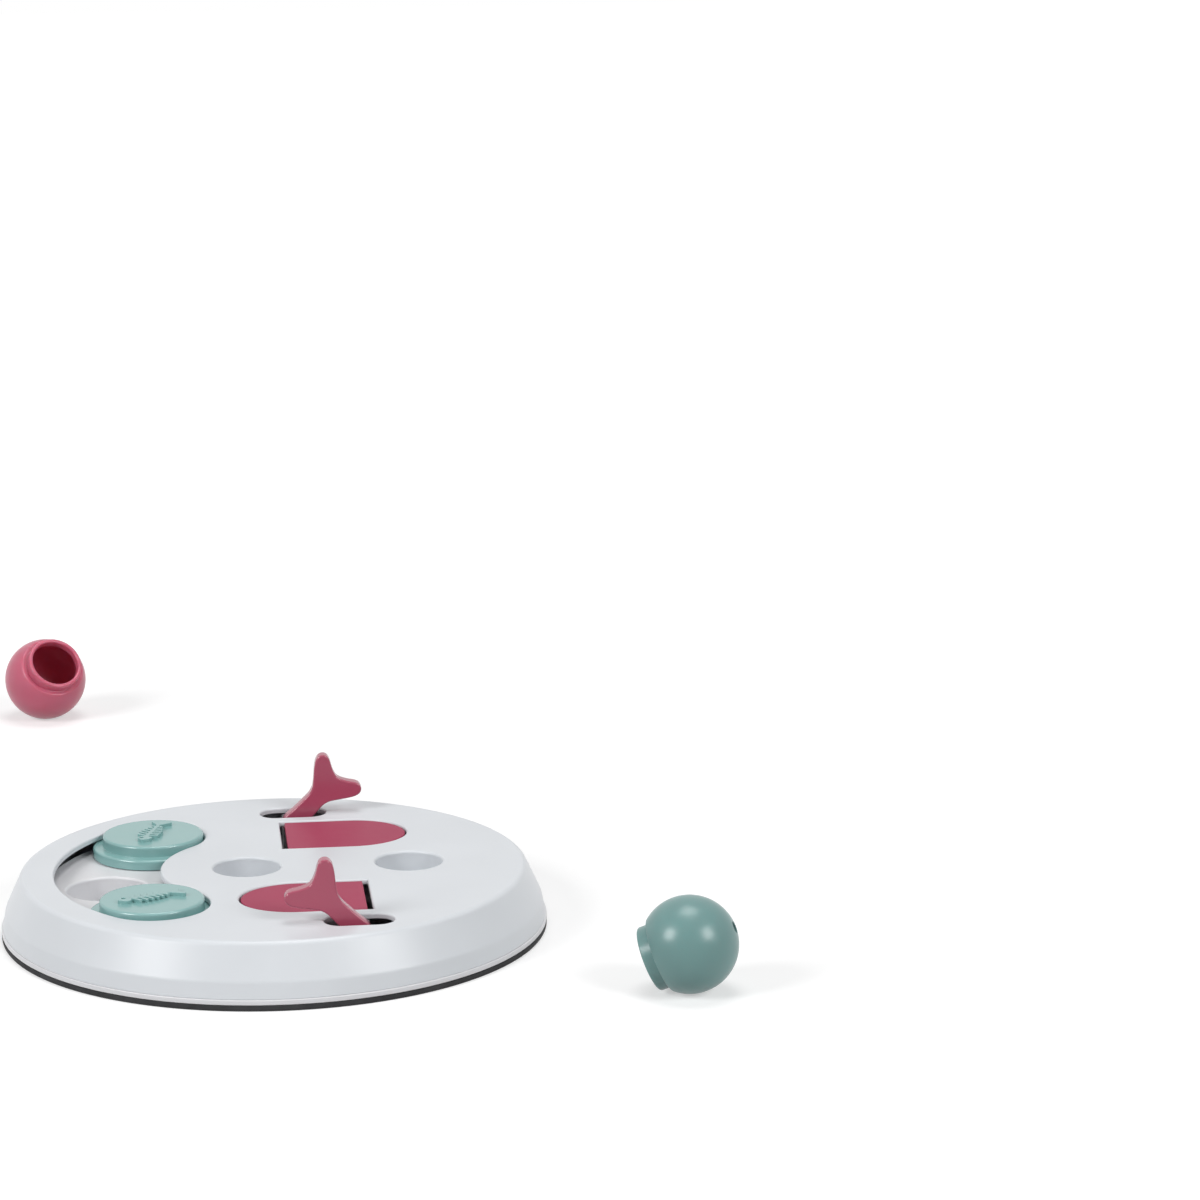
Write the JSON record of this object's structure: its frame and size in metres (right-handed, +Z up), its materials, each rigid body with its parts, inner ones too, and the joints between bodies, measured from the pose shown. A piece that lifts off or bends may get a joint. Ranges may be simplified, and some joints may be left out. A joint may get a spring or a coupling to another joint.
{
  "type": "treat puzzle board",
  "caption": "Round treat puzzle board: a shallow dished cover on a rubber ring, with knobs that slide over cups, lever-lifted flaps over basins and loose hollow balls.",
  "frame": {"origin": "centre of the board on the floor plane that its rubber ring stands on", "axes": "+Z up; +X from the slider slot towards the two round holes; the front lever stands on the -Y side"},
  "size_m": [0.3026, 0.5159, 0.0529],
  "materials": {
    "cover_plastic": "light cool grey moulded plastic, satin",
    "tray_plastic": "light grey moulded plastic, satin",
    "ring_rubber": "dark grey matt rubber",
    "slider_plastic": "pale teal moulded plastic, satin",
    "flap_plastic": "dusty rose moulded plastic, satin",
    "steel": "plain steel",
    "teal_ball_plastic": "teal moulded plastic, soft gloss",
    "pink_ball_plastic": "rose moulded plastic, soft gloss"
  },
  "bodies": {
    "board": {"top_cover": "cover_plastic", "base_tray": "tray_plastic", "slider_deck": "tray_plastic", "basin_front": "tray_plastic", "basin_back": "tray_plastic", "rubber_ring": "ring_rubber", "screw_1": "steel", "screw_2": "steel", "screw_3": "steel", "screw_4": "steel", "screw_5": "steel", "screw_6": "steel"},
    "slider_front": {"slider_front": "slider_plastic"},
    "slider_back": {"slider_back": "slider_plastic"},
    "flap_front": {"flap_front": "flap_plastic", "lever_front": "flap_plastic", "hinge_pin_front": "steel"},
    "flap_back": {"flap_back": "flap_plastic", "lever_back": "flap_plastic", "hinge_pin_back": "steel"},
    "ball_teal": {"ball_teal": "teal_ball_plastic"},
    "ball_pink": {"ball_pink": "pink_ball_plastic"}
  },
  "joints": [
    {"name": "slider_front_travel", "type": "hinge", "parent": "board", "child": "slider_front", "pos_m": [0, 0, 0.0216], "axis": [0, 0, 1], "range_deg": [-42.2, 1.8]},
    {"name": "slider_back_travel", "type": "hinge", "parent": "board", "child": "slider_back", "pos_m": [0, 0, 0.0216], "axis": [0, 0, 1], "range_deg": [0, 42.6]},
    {"name": "flap_front_hinge", "type": "hinge", "parent": "board", "child": "flap_front", "pos_m": [0.03152, -0.04605, 0.0218], "axis": [0, 1, 0], "range_deg": [0, 87]},
    {"name": "flap_back_hinge", "type": "hinge", "parent": "board", "child": "flap_back", "pos_m": [0.01132, 0.04605, 0.0218], "axis": [0, -1, 0], "range_deg": [0, 87]},
    {"name": "ball_teal_roll", "type": "slide", "parent": "board", "child": "ball_teal", "axis": [0.824, -0.5666, 0], "range_m": [0, 0.08]},
    {"name": "ball_pink_roll", "type": "slide", "parent": "board", "child": "ball_pink", "axis": [-0.266, 0.964, 0], "range_m": [0, 0.08]}
  ]
}
